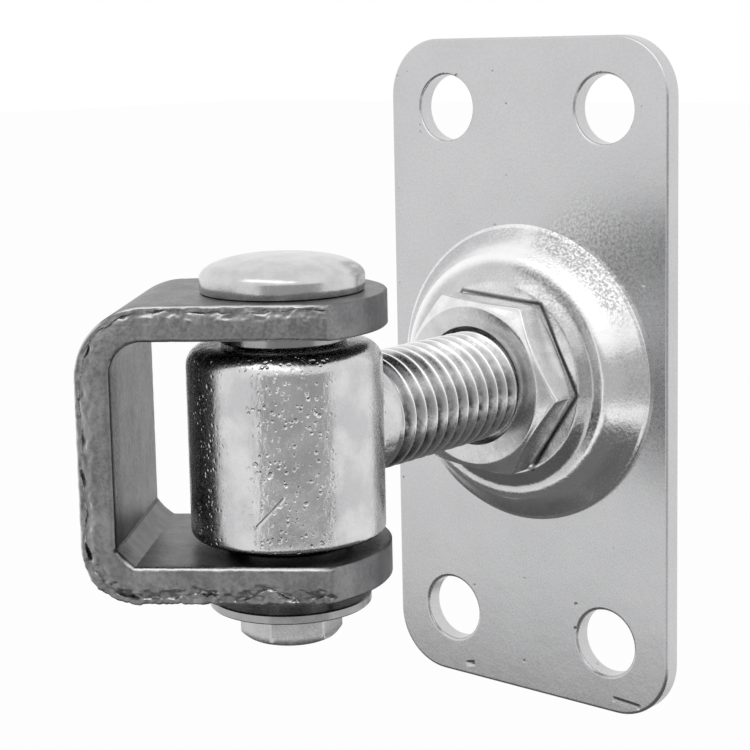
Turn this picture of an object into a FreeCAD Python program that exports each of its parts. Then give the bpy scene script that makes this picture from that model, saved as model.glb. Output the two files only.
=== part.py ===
import FreeCAD, Part
import math
import os
import Sketcher

# Adjustable gate hinge, in millimetres, +Z up.
# The origin is the centre of the mounting plate's back face. The threaded rod
# points along -Y, away from the post, and the hinge pin stands upright.

OUT_DIR = "parts"

# Lengths closer than SAME count as equal, and a cut takes away more than NOTHING
SAME = 0.01
NOTHING = 0.001

doc = FreeCAD.newDocument("GateHinge")
sheet = doc.addObject("Spreadsheet::Sheet", "Sizes")

SIZES = [
    # Mounting plate
    ("plate_width", 55.0),
    ("plate_height", 110.0),
    ("plate_thick", 3.0),
    ("plate_corner", 9.6),
    ("plate_edge", 0.5),
    ("hole_radius", 5.5),
    ("hole_side", 11.75),
    ("hole_end", 11.5),
    # Screw thread of the rod and its clearance
    ("rod_radius", 8.8),
    ("thread_gap", 0.05),
    ("thread_pitch", 2.5),
    ("thread_depth", 1.35),
    ("thread_crest", 0.35),
    ("thread_root", 0.45),
    # Threaded boss
    ("spigot_radius", 12.5),
    ("seat_gap", 0.03),
    ("seat_radius", 15.8),
    ("seat_rise", 2.1),
    ("seat_round", 0.6),
    ("dish_step", 1.2),
    ("dish_depth", 0.7),
    ("dish_round", 0.9),
    ("crest_width", 1.8),
    ("crest_height", 6.2),
    ("crest_round", 1.6),
    ("shoulder_width", 1.6),
    ("shoulder_drop", 0.8),
    ("shoulder_round", 2.0),
    ("skirt_width", 3.7),
    ("rim_ledge", 0.6),
    ("rim_height", 0.7),
    # Lock nut
    ("nut_across", 27.0),
    ("nut_height", 7.0),
    ("nut_inset", 0.75),
    ("nut_turn", 56.0),
    ("nut_sink", 0.75),
    ("nut_clear", 0.05),
    ("nut_bevel", 30.0),
    # Eye bolt
    ("pivot_reach", 60.5),
    ("barrel_radius", 13.9),
    ("barrel_rise", 13.2),
    ("barrel_drop", 14.15),
    ("barrel_round", 3.0),
    ("barrel_foot", 1.4),
    ("neck_radius", 8.3),
    ("neck_round", 1.0),
    ("thread_reach", 44.9),
    ("thread_lead", 1.55),
    ("thread_entry", 0.4),
    ("rod_inset", 0.5),
    ("rod_chamfer", 1.2),
    # Sleeve, spacer and washer on the pin
    ("pin_radius", 6.0),
    ("running_gap", 0.05),
    ("sleeve_radius", 7.6),
    ("sleeve_rise", 0.15),
    ("sleeve_foot", 0.45),
    ("sleeve_edge", 0.3),
    ("ring_radius", 9.15),
    ("ring_gap", 0.1),
    ("lift_gap", 0.15),
    ("spacer_thick", 2.0),
    ("washer_thick", 0.8),
    ("ring_edge", 0.2),
    # Clevis bracket, bent from flat bar
    ("rest_swing", 36.0),
    ("bar_width", 29.5),
    ("bar_thick", 4.9),
    ("throat", 7.95),
    ("bend_inside", 4.3),
    ("arm_reach", 14.7),
    ("arm_flatness", 3.95),
    ("bar_edge", 0.4),
    # Hinge pin, its washer and its nut
    ("head_radius", 11.65),
    ("head_rim", 2.5),
    ("head_crown", 3.15),
    ("head_round", 0.8),
    ("head_foot", 0.5),
    ("pin_thread", 4.0),
    ("pin_stand", 0.6),
    ("pin_play", 2.7),
    ("foot_washer_radius", 11.6),
    ("foot_washer_thick", 1.4),
    ("foot_nut_across", 13.0),
    ("foot_nut_height", 4.8),
    ("foot_nut_inset", 0.4),
    ("foot_nut_turn", 14.0),
    ("foot_nut_sink", 0.4),
]
for row, (alias, number) in enumerate(SIZES, 1):
    sheet.set("A%d" % row, alias)
    sheet.set("B%d" % row, str(number))
    sheet.setAlias("B%d" % row, alias)
doc.recompute()

# Places that several pieces share, worked out from the sheet
DISH_HEIGHT = "(Sizes.crest_height - Sizes.dish_depth)"
SEAT_HEIGHT = "(%s + Sizes.seat_rise)" % DISH_HEIGHT
DISH_RADIUS = "(Sizes.seat_radius + Sizes.dish_step)"
CREST_RADIUS = "(%s + Sizes.crest_width)" % DISH_RADIUS
SHOULDER_RADIUS = "(%s + Sizes.shoulder_width)" % CREST_RADIUS
NUT_BACK = "(Sizes.plate_thick + %s + Sizes.nut_clear)" % SEAT_HEIGHT
PIVOT_Y = "(0 - Sizes.pivot_reach)"
PIN_BORE = "(Sizes.pin_radius + Sizes.running_gap)"
ROD_BORE = "(Sizes.rod_radius + Sizes.thread_gap)"
PIN_END_BORE = "(Sizes.pin_thread + Sizes.thread_gap)"

# Heights on the pin: the sleeve, what stands above it and what hangs below it
SLEEVE_TOP = "(Sizes.barrel_rise + Sizes.sleeve_rise)"
SLEEVE_FOOT = "(0 - Sizes.barrel_drop - Sizes.sleeve_foot)"
UPPER_INSIDE = "(%s + Sizes.lift_gap + Sizes.spacer_thick)" % SLEEVE_TOP
LOWER_INSIDE = "(%s - Sizes.ring_gap - Sizes.washer_thick)" % SLEEVE_FOOT
ARM_TOP = "(%s + Sizes.bar_thick)" % UPPER_INSIDE
ARM_FOOT = "(%s - Sizes.bar_thick)" % LOWER_INSIDE
FOOT_WASHER_TOP = "(%s - Sizes.pin_play)" % ARM_FOOT
FOOT_WASHER_UNDER = "(%s - Sizes.foot_washer_thick)" % FOOT_WASHER_TOP
FOOT_NUT_UNDER = "(%s - Sizes.foot_nut_height)" % FOOT_WASHER_UNDER


def value(text):
    """The number that an expression of the sheet gives."""
    result = sheet.evalExpression(text.replace("Sizes.", ""))
    return float(result)


def new_body(name):
    body = doc.addObject("PartDesign::Body", name)
    body.Label = name
    return body


def plane(body, role):
    return [f for f in body.Origin.OriginFeatures if f.Role == role][0]


def new_sketch(body, name, role, lift=None):
    """A sketch on one of the body's origin planes, moved along its normal by lift."""
    sketch = body.newObject("Sketcher::SketchObject", name)
    sketch.AttachmentSupport = [(plane(body, role), "")]
    sketch.MapMode = "FlatFace"
    if lift is not None:
        sketch.setExpression(".AttachmentOffset.Base.z", lift)
    return sketch


def fix_point(sketch, geo, pos, x_text, y_text):
    """Ties one point of a sketch to two expressions of the sheet."""
    for kind, text, axis in (("DistanceX", x_text, -2), ("DistanceY", y_text, -1)):
        if text == "0":
            sketch.addConstraint(Sketcher.Constraint("PointOnObject", geo, pos, axis))
            continue
        index = sketch.addConstraint(Sketcher.Constraint(kind, -1, 1, geo, pos, value(text)))
        sketch.setExpression("Constraints[%d]" % index, text)


def add_loop(sketch, points, arcs=None):
    """A closed outline through points, each a pair of expressions.

    arcs maps the index of a side to the expression of its radius and True
    where the arc turns counter-clockwise from the side's first point.
    """
    arcs = arcs or {}
    count = len(points)
    where = [FreeCAD.Vector(value(x), value(y), 0) for x, y in points]
    made = []
    for k in range(count):
        a, b = where[k], where[(k + 1) % count]
        if k in arcs:
            radius, left = arcs[k]
            geo = sketch.addGeometry(arc_between(a, b, value(radius), left), False)
            first, last = (1, 2) if left else (2, 1)
            index = sketch.addConstraint(Sketcher.Constraint("Radius", geo, value(radius)))
            sketch.setExpression("Constraints[%d]" % index, radius)
        else:
            geo = sketch.addGeometry(Part.LineSegment(a, b), False)
            first, last = 1, 2
        made.append((geo, first, last))
    for k in range(count):
        geo, first, last = made[k]
        after, start, end = made[(k + 1) % count]
        sketch.addConstraint(Sketcher.Constraint("Coincident", geo, last, after, start))
        fix_point(sketch, geo, first, *points[k])
    return made


def arc_between(a, b, radius, left):
    """The minor arc of a circle from a to b, counter-clockwise where left is True."""
    middle = (a + b) * 0.5
    chord = b - a
    half = chord.Length / 2
    rise = math.sqrt(max(radius * radius - half * half, 0.0))
    side = FreeCAD.Vector(-chord.y, chord.x, 0)
    side.normalize()
    centre = middle + side * (rise if left else -rise)
    start, end = (a, b) if left else (b, a)
    first = math.atan2(start.y - centre.y, start.x - centre.x)
    last = math.atan2(end.y - centre.y, end.x - centre.x)
    if last <= first:
        last += 2 * math.pi
    circle = Part.Circle(centre, FreeCAD.Vector(0, 0, 1), radius)
    return Part.ArcOfCircle(circle, first, last)


def add_circle(sketch, x_text, y_text, radius_text):
    centre = FreeCAD.Vector(value(x_text), value(y_text), 0)
    circle = Part.Circle(centre, FreeCAD.Vector(0, 0, 1), value(radius_text))
    geo = sketch.addGeometry(circle, False)
    fix_point(sketch, geo, 3, x_text, y_text)
    index = sketch.addConstraint(Sketcher.Constraint("Radius", geo, value(radius_text)))
    sketch.setExpression("Constraints[%d]" % index, radius_text)
    return geo


def add_pad(body, name, sketch, length, reverse=False, both=False):
    pad = body.newObject("PartDesign::Pad", name)
    pad.Profile = sketch
    pad.setExpression("Length", length)
    pad.Reversed = reverse
    if both:
        pad.SideType = "Symmetric"
    doc.recompute()
    return pad


def add_pocket(body, name, sketch):
    """Cuts the sketch through the whole body, to both sides of its plane."""
    before = body.Shape.Volume
    pocket = body.newObject("PartDesign::Pocket", name)
    pocket.Profile = sketch
    pocket.SideType = "Symmetric"
    pocket.Type = "ThroughAll"
    doc.recompute()
    if not body.Shape.Volume < before - NOTHING:
        raise RuntimeError("%s cuts nothing" % name)
    return pocket


def add_turned(body, name, sketch, kind="PartDesign::Revolution"):
    """Turns the sketch's outline about its own vertical axis."""
    before = body.Shape.Volume if kind.endswith("Groove") else None
    feature = body.newObject(kind, name)
    feature.Profile = sketch
    feature.ReferenceAxis = (sketch, ["V_Axis"])
    feature.Angle = 360.0
    doc.recompute()
    if before is not None and not body.Shape.Volume < before - NOTHING:
        raise RuntimeError("%s cuts nothing" % name)
    return feature


def edges_where(feature, test):
    """Names of the feature's edges that pass a test of their box and curve."""
    names = []
    for k, edge in enumerate(feature.Shape.Edges, 1):
        if not edge.Degenerated and test(edge, edge.BoundBox):
            names.append("Edge%d" % k)
    if not names:
        raise RuntimeError("no edge found on %s" % feature.Name)
    return names


def add_fillet(body, name, base, test, radius):
    fillet = body.newObject("PartDesign::Fillet", name)
    fillet.Base = (base, edges_where(base, test))
    fillet.setExpression("Radius", radius)
    doc.recompute()
    return fillet


def add_chamfer(body, name, base, test, size):
    chamfer = body.newObject("PartDesign::Chamfer", name)
    chamfer.Base = (base, edges_where(base, test))
    chamfer.setExpression("Size", size)
    doc.recompute()
    return chamfer


def near(a, b):
    return abs(a - b) < SAME


def is_round(edge, radius=None):
    """True for an edge on a circle, of the given radius where one is stated."""
    if not hasattr(edge.Curve, "Radius"):
        return False
    return radius is None or near(edge.Curve.Radius, radius)


def is_meeting(edge):
    """True for the curve along which two round faces meet."""
    return isinstance(edge.Curve, Part.BSplineCurve)


def lies_at_y(box, y):
    return near(box.YMin, y) and near(box.YMax, y)


def lies_at_z(box, z):
    return near(box.ZMin, z) and near(box.ZMax, z)


def place_on_pin(body, swing=False, z_text=None):
    """Stands a body on the hinge pin's axis, turned with the clevis where swing is True."""
    if swing:
        body.Placement = FreeCAD.Placement(
            FreeCAD.Vector(0, value(PIVOT_Y), 0),
            FreeCAD.Rotation(FreeCAD.Vector(0, 0, 1), value("Sizes.rest_swing")),
        )
        body.setExpression(".Placement.Rotation.Angle", "Sizes.rest_swing * 1 deg")
    body.setExpression(".Placement.Base.y", PIVOT_Y)
    if z_text is not None:
        body.setExpression(".Placement.Base.z", z_text)


# Mounting plate: flat steel with round corners and four bolt holes


def make_plate():
    body = new_body("mounting_plate")
    outline = new_sketch(body, "PlateOutline", "XZ_Plane")
    x, z = "Sizes.plate_width / 2", "Sizes.plate_height / 2"
    left, low = "0 - " + x, "0 - " + z
    add_loop(outline, [(left, low), (x, low), (x, z), (left, z)])
    pad = add_pad(body, "PlatePad", outline, "Sizes.plate_thick")
    thick = value("Sizes.plate_thick")
    corners = add_fillet(
        body, "PlateCorners", pad,
        lambda e, b: near(b.YLength, thick) and near(b.XLength, 0) and near(b.ZLength, 0),
        "Sizes.plate_corner",
    )
    holes = new_sketch(body, "PlateHoles", "XZ_Plane")
    across = "(%s - Sizes.hole_side)" % x
    upward = "(%s - Sizes.hole_end)" % z
    for hole_x in (across, "0 - " + across):
        for hole_z in (upward, "0 - " + upward):
            add_circle(holes, hole_x, hole_z, "Sizes.hole_radius")
    add_circle(holes, "0", "0", "Sizes.spigot_radius + Sizes.seat_gap")
    drilled = add_pocket(body, "PlateDrilling", holes)
    spigot = value("Sizes.spigot_radius + Sizes.seat_gap")
    add_fillet(
        body, "PlateFrontEdge", drilled,
        lambda e, b: lies_at_y(b, -thick) and not is_round(e, spigot),
        "Sizes.plate_edge",
    )
    return body


# Threaded boss: a dished round forging whose spigot sits in the plate


def make_boss():
    body = new_body("threaded_boss")
    profile = new_sketch(body, "BossProfile", "XY_Plane")
    front = "0 - Sizes.plate_thick"
    cone_foot = "%s + Sizes.skirt_width" % SHOULDER_RADIUS
    rim = cone_foot + " + Sizes.rim_ledge"
    points = [
        (ROD_BORE, "0"),
        ("Sizes.spigot_radius", "0"),
        ("Sizes.spigot_radius", front),
        (rim, front),
        (rim, front + " - Sizes.rim_height"),
        (cone_foot, front + " - Sizes.rim_height - Sizes.rim_ledge / 2"),
        (SHOULDER_RADIUS, front + " - Sizes.crest_height + Sizes.shoulder_drop"),
        (CREST_RADIUS, front + " - Sizes.crest_height"),
        (DISH_RADIUS, front + " - " + DISH_HEIGHT),
        ("Sizes.seat_radius", front + " - " + SEAT_HEIGHT),
        (ROD_BORE, front + " - " + SEAT_HEIGHT),
    ]
    add_loop(profile, points)
    turned = add_turned(body, "BossTurned", profile)
    rounds = [
        ("BossShoulder", SHOULDER_RADIUS, "Sizes.shoulder_round"),
        ("BossCrest", CREST_RADIUS, "Sizes.crest_round"),
        ("BossDish", DISH_RADIUS, "Sizes.dish_round"),
        ("BossSeat", "Sizes.seat_radius", "Sizes.seat_round"),
    ]
    last = turned
    for name, ring, softness in rounds:
        radius = value(ring)
        last = add_fillet(body, name, last, lambda e, b: is_round(e, radius), softness)
    return body


# Hexagon nuts, chamfered on both faces, standing on their own XY plane


def make_hex_nut(name, across, height, bore, inset, turn, sink):
    body = new_body(name)
    outline = new_sketch(body, name + "_hex", "XY_Plane")
    corner = "%s / sqrt(3)" % across
    points = []
    for k in range(6):
        angle = "(%s + %d)" % (turn, 60 * k)
        points.append(("%s * cos(%s)" % (corner, angle), "%s * sin(%s)" % (corner, angle)))
    add_loop(outline, points)
    add_pad(body, name + "_pad", outline, height)
    cone = new_sketch(body, name + "_cone", "XZ_Plane")
    ring = "(%s / 2 - %s)" % (across, inset)
    outer = "(%s + %s)" % (corner, sink)
    drop = "((%s - %s) * tan(Sizes.nut_bevel))" % (outer, ring)
    add_loop(cone, [(ring, height), (outer, height), (outer, "%s - %s" % (height, drop))])
    add_loop(cone, [(ring, "0"), (outer, drop), (outer, "0")])
    add_turned(body, name + "_bevel", cone, "PartDesign::Groove")
    hole = new_sketch(body, name + "_hole", "XY_Plane")
    add_circle(hole, "0", "0", bore)
    bored = add_pocket(body, name + "_bored", hole)
    radius = value(bore)
    add_chamfer(
        body, name + "_sink", bored,
        lambda e, b: is_round(e, radius) and near(b.ZLength, 0), sink,
    )
    return body


def make_lock_nut():
    body = make_hex_nut(
        "lock_nut", "Sizes.nut_across", "Sizes.nut_height", ROD_BORE,
        "Sizes.nut_inset", "Sizes.nut_turn", "Sizes.nut_sink",
    )
    body.Placement = FreeCAD.Placement(
        FreeCAD.Vector(0, 0, 0), FreeCAD.Rotation(FreeCAD.Vector(1, 0, 0), 90)
    )
    body.setExpression(".Placement.Base.y", "0 - " + NUT_BACK)
    return body


def make_pin_nut():
    body = make_hex_nut(
        "pin_nut", "Sizes.foot_nut_across", "Sizes.foot_nut_height", PIN_END_BORE,
        "Sizes.foot_nut_inset", "Sizes.foot_nut_turn", "Sizes.foot_nut_sink",
    )
    place_on_pin(body, True, FOOT_NUT_UNDER)
    return body


# Eye bolt: one forging with an upright barrel, a short neck and the rod


def make_eye_bolt():
    body = new_body("eye_bolt")
    barrel = new_sketch(body, "BarrelOutline", "XY_Plane", "0 - Sizes.barrel_drop")
    add_circle(barrel, "0", PIVOT_Y, "Sizes.barrel_radius")
    add_pad(body, "BarrelPad", barrel, "Sizes.barrel_rise + Sizes.barrel_drop")
    neck = new_sketch(body, "NeckOutline", "XZ_Plane", "Sizes.pivot_reach")
    add_circle(neck, "0", "0", "Sizes.neck_radius")
    joined = add_pad(body, "NeckPad", neck, "Sizes.pivot_reach - Sizes.rod_inset", reverse=True)
    root = add_fillet(
        body, "NeckRoot", joined, lambda e, b: is_meeting(e), "Sizes.neck_round"
    )
    top, foot = value("Sizes.barrel_rise"), value("0 - Sizes.barrel_drop")
    crown = add_fillet(
        body, "BarrelCrown", root, lambda e, b: lies_at_z(b, top), "Sizes.barrel_round"
    )
    base = add_fillet(
        body, "BarrelBase", crown, lambda e, b: lies_at_z(b, foot), "Sizes.barrel_foot"
    )
    rod = new_sketch(body, "RodOutline", "XZ_Plane", "Sizes.thread_reach")
    add_circle(rod, "0", "0", "Sizes.rod_radius")
    thick = add_pad(body, "RodPad", rod, "Sizes.thread_reach - Sizes.rod_inset", reverse=True)
    end, start = value("0 - Sizes.rod_inset"), value("0 - Sizes.thread_reach")
    tip = add_chamfer(body, "RodTip", thick, lambda e, b: lies_at_y(b, end), "Sizes.rod_chamfer")
    crest = value("Sizes.rod_radius")
    add_chamfer(
        body, "ThreadEntry", tip,
        lambda e, b: lies_at_y(b, start) and is_round(e, crest), "Sizes.thread_entry",
    )
    bore = new_sketch(body, "BarrelBore", "XY_Plane")
    add_circle(bore, "0", PIVOT_Y, "Sizes.sleeve_radius + Sizes.seat_gap")
    add_pocket(body, "BarrelBored", bore)
    add_thread(body)
    return body


def add_thread(body):
    """The thread's grooves as rings along the rod, one for each turn of the screw."""
    notch = new_sketch(body, "ThreadNotch", "XY_Plane")
    middle = "(Sizes.thread_lead - Sizes.thread_reach)"
    wide = "(Sizes.thread_pitch - Sizes.thread_crest) / 2"
    narrow = "Sizes.thread_root / 2"
    floor = "Sizes.rod_radius - Sizes.thread_depth"
    add_loop(notch, [
        (floor, "%s - %s" % (middle, narrow)), (ROD_BORE, "%s - %s" % (middle, wide)),
        (ROD_BORE, "%s + %s" % (middle, wide)), (floor, "%s + %s" % (middle, narrow)),
    ])
    groove = add_turned(body, "ThreadGroove", notch, "PartDesign::Groove")
    span = "(Sizes.thread_reach - Sizes.thread_lead - Sizes.rod_inset - Sizes.rod_chamfer)"
    turns = "floor(%s / Sizes.thread_pitch)" % span
    pattern = body.newObject("PartDesign::LinearPattern", "ThreadTurns")
    pattern.Originals = [groove]
    pattern.Direction = (notch, ["V_Axis"])
    pattern.setExpression("Length", "%s * Sizes.thread_pitch" % turns)
    pattern.setExpression("Occurrences", "%s + 1" % turns)
    body.Tip = pattern
    doc.recompute()


# Rings on the pin: the barrel's sleeve, the spacer, the washers


def make_ring(name, outer, inner, thick, edge, low_text):
    body = new_body(name)
    section = new_sketch(body, name + "_section", "XY_Plane")
    add_circle(section, "0", "0", outer)
    add_circle(section, "0", "0", inner)
    pad = add_pad(body, name + "_pad", section, thick)
    radius = value(outer)
    add_chamfer(
        body, name + "_edge", pad,
        lambda e, b: is_round(e, radius) and near(b.ZLength, 0), edge,
    )
    place_on_pin(body, False, low_text)
    return body


def make_sleeve():
    return make_ring(
        "pivot_sleeve", "Sizes.sleeve_radius", PIN_BORE,
        "%s - %s" % (SLEEVE_TOP, SLEEVE_FOOT), "Sizes.sleeve_edge", SLEEVE_FOOT,
    )


def make_spacer():
    return make_ring(
        "upper_spacer", "Sizes.ring_radius", PIN_BORE, "Sizes.spacer_thick",
        "Sizes.ring_edge", UPPER_INSIDE + " - Sizes.spacer_thick",
    )


def make_lower_washer():
    return make_ring(
        "lower_washer", "Sizes.ring_radius", PIN_BORE, "Sizes.washer_thick",
        "Sizes.ring_edge", LOWER_INSIDE,
    )


def make_foot_washer():
    return make_ring(
        "pin_washer", "Sizes.foot_washer_radius", PIN_END_BORE,
        "Sizes.foot_washer_thick", "Sizes.ring_edge", FOOT_WASHER_UNDER,
    )


# Clevis bracket: flat bar bent to a U, with round arm ends and pin holes


def make_clevis():
    body = new_body("clevis_bracket")
    side = new_sketch(body, "ClevisSide", "XZ_Plane")
    inner_back = "(0 - Sizes.barrel_radius - Sizes.throat)"
    back = "(%s - Sizes.bar_thick)" % inner_back
    reach = "Sizes.arm_reach"
    add_loop(side, [
        (back, ARM_FOOT), (reach, ARM_FOOT), (reach, LOWER_INSIDE), (inner_back, LOWER_INSIDE),
        (inner_back, UPPER_INSIDE), (reach, UPPER_INSIDE), (reach, ARM_TOP), (back, ARM_TOP),
    ])
    pad = add_pad(body, "ClevisPad", side, "Sizes.bar_width", both=True)
    width = value("Sizes.bar_width")
    far, inside = value(back), value(inner_back)
    bend_outside = "Sizes.bend_inside + Sizes.bar_thick"

    def corner_at(x):
        return lambda e, b: near(b.YLength, width) and near(b.XMin, x) and near(b.XMax, x)

    outer = add_fillet(body, "OuterBends", pad, corner_at(far), bend_outside)
    add_fillet(body, "InnerBends", outer, corner_at(inside), "Sizes.bend_inside")

    plan = new_sketch(body, "ArmEnds", "XY_Plane")
    half = "(Sizes.bar_width / 2)"
    sweep = "(%s + Sizes.arm_flatness)" % half
    corner = "(Sizes.arm_reach - %s + sqrt(%s^2 - %s^2))" % (sweep, sweep, half)
    past = "(Sizes.arm_reach + Sizes.bar_thick)"
    wide = "(%s + Sizes.bar_thick)" % half
    add_loop(plan, [
        (corner, half), (corner, wide), (past, wide), (past, "0 - " + wide),
        (corner, "0 - " + wide), (corner, "0 - " + half),
    ], {5: (sweep, True)})
    rounded = add_pocket(body, "ArmRounds", plan)
    holes = new_sketch(body, "PinHoles", "XY_Plane")
    add_circle(holes, "0", "0", PIN_BORE)
    bored = add_pocket(body, "PinBores", holes)

    bend, side_y = value(bend_outside), value(half)
    top, foot = value(ARM_TOP), value(ARM_FOOT)

    def on_outside(edge, box):
        """True for the edges of the bar's outer face along the bar's two sides."""
        along_arm = lies_at_z(box, top) or lies_at_z(box, foot)
        along_strap = near(box.XMin, far) and near(box.XMax, far)
        at_side = near(abs(box.YMin), side_y) and near(box.YLength, 0)
        return at_side and (along_arm or along_strap or is_round(edge, bend))

    add_fillet(body, "BarEdge", bored, on_outside, "Sizes.bar_edge")
    place_on_pin(body, True)
    return body


# Hinge pin: low domed head, plain shank and a thinner threaded end


def make_pin():
    body = new_body("hinge_pin")
    profile = new_sketch(body, "PinProfile", "XZ_Plane")
    rim_top = ARM_TOP + " + Sizes.head_rim"
    tip = FOOT_NUT_UNDER + " - Sizes.pin_stand"
    crown = "(Sizes.head_radius^2 + Sizes.head_crown^2) / (2 * Sizes.head_crown)"
    points = [
        ("0", rim_top + " + Sizes.head_crown"),
        ("0", tip),
        ("Sizes.pin_thread", tip),
        ("Sizes.pin_thread", FOOT_WASHER_TOP),
        ("Sizes.pin_radius", FOOT_WASHER_TOP),
        ("Sizes.pin_radius", ARM_TOP),
        ("Sizes.head_radius - Sizes.head_foot", ARM_TOP),
        ("Sizes.head_radius", ARM_TOP + " + Sizes.head_foot"),
        ("Sizes.head_radius", rim_top),
    ]
    add_loop(profile, points, {8: (crown, True)})
    turned = add_turned(body, "PinTurned", profile)
    head, rim = value("Sizes.head_radius"), value(rim_top)
    rounded = add_fillet(
        body, "HeadRound", turned,
        lambda e, b: is_round(e, head) and lies_at_z(b, rim), "Sizes.head_round",
    )
    tip_z = value(tip)
    add_chamfer(
        body, "PinTip", rounded,
        lambda e, b: is_round(e) and lies_at_z(b, tip_z), "Sizes.foot_nut_sink",
    )
    place_on_pin(body, True)
    return body


bodies = [
    make_plate(),
    make_boss(),
    make_lock_nut(),
    make_eye_bolt(),
    make_sleeve(),
    make_spacer(),
    make_lower_washer(),
    make_clevis(),
    make_pin(),
    make_foot_washer(),
    make_pin_nut(),
]
doc.recompute()

# Every object has to be sound before anything is written

for item in doc.Objects:
    if "Invalid" in item.State or "Error" in item.State:
        raise RuntimeError("%s failed: %s" % (item.Name, item.State))
for body in bodies:
    if body.Shape.isNull() or not body.Shape.isValid():
        raise RuntimeError("%s has no valid shape" % body.Label)
    if len(body.Shape.Solids) != 1:
        raise RuntimeError("%s has %d solids" % (body.Label, len(body.Shape.Solids)))

os.makedirs(OUT_DIR, exist_ok=True)
for body in bodies:
    body.Shape.exportStep(os.path.join(OUT_DIR, body.Label + ".step"))
    box = body.Shape.BoundBox
    print("%-15s %9.2f mm3  x %.2f..%.2f  y %.2f..%.2f  z %.2f..%.2f" % (
        body.Label, body.Shape.Volume, box.XMin, box.XMax, box.YMin, box.YMax, box.ZMin, box.ZMax))
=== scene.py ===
import math

import bmesh
import bpy
from mathutils import Matrix, Vector, noise


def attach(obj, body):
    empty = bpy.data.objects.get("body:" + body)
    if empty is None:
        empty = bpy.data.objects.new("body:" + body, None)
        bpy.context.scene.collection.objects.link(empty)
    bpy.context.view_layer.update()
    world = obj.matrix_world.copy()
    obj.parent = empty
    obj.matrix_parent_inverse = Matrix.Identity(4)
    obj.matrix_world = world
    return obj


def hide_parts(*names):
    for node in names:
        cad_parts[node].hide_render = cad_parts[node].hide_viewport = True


# Adjustable gate hinge, dressed for its photograph. Metres, +Z up, origin at the
# centre of the plate's back face, with the rod along -Y.

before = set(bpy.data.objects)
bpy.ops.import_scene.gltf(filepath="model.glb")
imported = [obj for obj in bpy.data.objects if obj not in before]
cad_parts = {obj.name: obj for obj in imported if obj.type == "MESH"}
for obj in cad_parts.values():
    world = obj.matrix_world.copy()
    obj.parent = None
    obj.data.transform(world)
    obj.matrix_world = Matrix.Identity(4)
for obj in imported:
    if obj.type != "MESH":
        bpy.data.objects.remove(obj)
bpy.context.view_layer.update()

MM = 0.001

# Sizes of the eye bolt, in millimetres
PIVOT_Y = -60.5
BARREL_R = 13.9
BARREL_TOP = 13.2
BARREL_FOOT = -14.15
BARREL_ROUND = 3.0
BARREL_FOOT_ROUND = 1.0
BARREL_BORE = 7.63
ROD_R = 8.8
ROD_END = -0.5
ROD_CHAMFER = 1.2
PITCH = 2.5
THREAD_START = -45.3
THREAD_FADE = 1.7
CREST_Y = 2.28
NECK_R = 8.3
NECK_ROUND = 1.0
ROD_INNER_END = -51.6
# Direction across the barrel, seen from above, from its left to its right in the photograph
BARREL_ACROSS = (0.759, 0.651)
BARREL_SCRATCH = ((5.83, -73.12, -10.3), (9.36, -70.77, -5.81))

# Sizes of the bracket, in millimetres, in its own frame: X along the arms,
# Y across the bar, Z up, the pin's axis at X = Y = 0
SWING = math.radians(36.0)
BAR_HALF = 14.75
BAR_THICK = 4.9
ARM_TOP = 20.4
STRAP_X = -26.75
UPPER_BEND = 10.2
LOWER_BEND = 7.8
UPPER_HOLLOW = 4.5
LOWER_FOLD = 2.4
LOWER_FLATNESS = 0.8
ARM_TIP = 14.7
ARM_SWEEP = 18.7
PIN_BORE = 6.05

# Sizes and places of the boss and the nuts, in millimetres and degrees
PLATE_THICK = 3.0
SPIGOT_R = 12.5
THREAD_BORE = 8.85
LOCK_NUT_ACROSS = 27.0
LOCK_NUT_CORNER = 56.0
LOCK_NUT_BACK = -10.65
PIN_NUT_ACROSS = 13.0
PIN_NUT_CORNER = 14.0
PIN_NUT_UNDER = -29.3
# Middle of the coarse grained place at the upper right of the boss
FROST_PLACE = (14.0, -5.0, 19.0)
# Two short knocks at the plate's lower edge: from x, z to x, z
PLATE_KNOCKS = (((-12.6, -53.0), (-11.0, -52.6)), ((17.6, -52.7), (22.6, -53.0)))


# Mesh helpers


def mesh_object(name, points, faces, sharp_angle=35.0):
    """A mesh object from points in millimetres, smooth up to the sharp angle in degrees."""
    mesh = bpy.data.meshes.new(name)
    mesh.from_pydata([Vector(p) * MM for p in points], [], faces)
    obj = bpy.data.objects.new(name, mesh)
    bpy.context.scene.collection.objects.link(obj)
    clean(obj, sharp_angle)
    return obj


def clean(obj, sharp_angle=35.0):
    """Joins double points, turns the faces outward and marks the sharp edges."""
    bm = bmesh.new()
    bm.from_mesh(obj.data)
    bmesh.ops.remove_doubles(bm, verts=bm.verts, dist=1e-6)
    bmesh.ops.dissolve_degenerate(bm, dist=1e-7, edges=bm.edges)
    bmesh.ops.recalc_face_normals(bm, faces=bm.faces)
    limit = math.radians(sharp_angle)
    for face in bm.faces:
        face.smooth = True
    for edge in bm.edges:
        edge.smooth = len(edge.link_faces) == 2 and edge.calc_face_angle() < limit
    bm.to_mesh(obj.data)
    bm.free()
    obj.data.update()


def combine(obj, tool, operation, sharp_angle=35.0):
    """Applies a boolean of obj with tool and deletes the tool."""
    modifier = obj.modifiers.new("combine", "BOOLEAN")
    modifier.operation = operation
    modifier.solver = "EXACT"
    modifier.object = tool
    bpy.context.view_layer.update()
    shape = obj.evaluated_get(bpy.context.evaluated_depsgraph_get())
    result = bpy.data.meshes.new_from_object(shape)
    obj.modifiers.clear()
    obj.data = result
    bpy.data.objects.remove(tool)
    clean(obj, sharp_angle)


def faces_around(columns, count):
    """Faces between neighbouring columns of count points each, all the way round."""
    faces = []
    for k in range(columns):
        for i in range(count):
            a, b = k * count + i, k * count + (i + 1) % count
            c = ((k + 1) % columns) * count
            faces.append((a, c + i, c + (i + 1) % count, b))
    return faces


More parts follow.
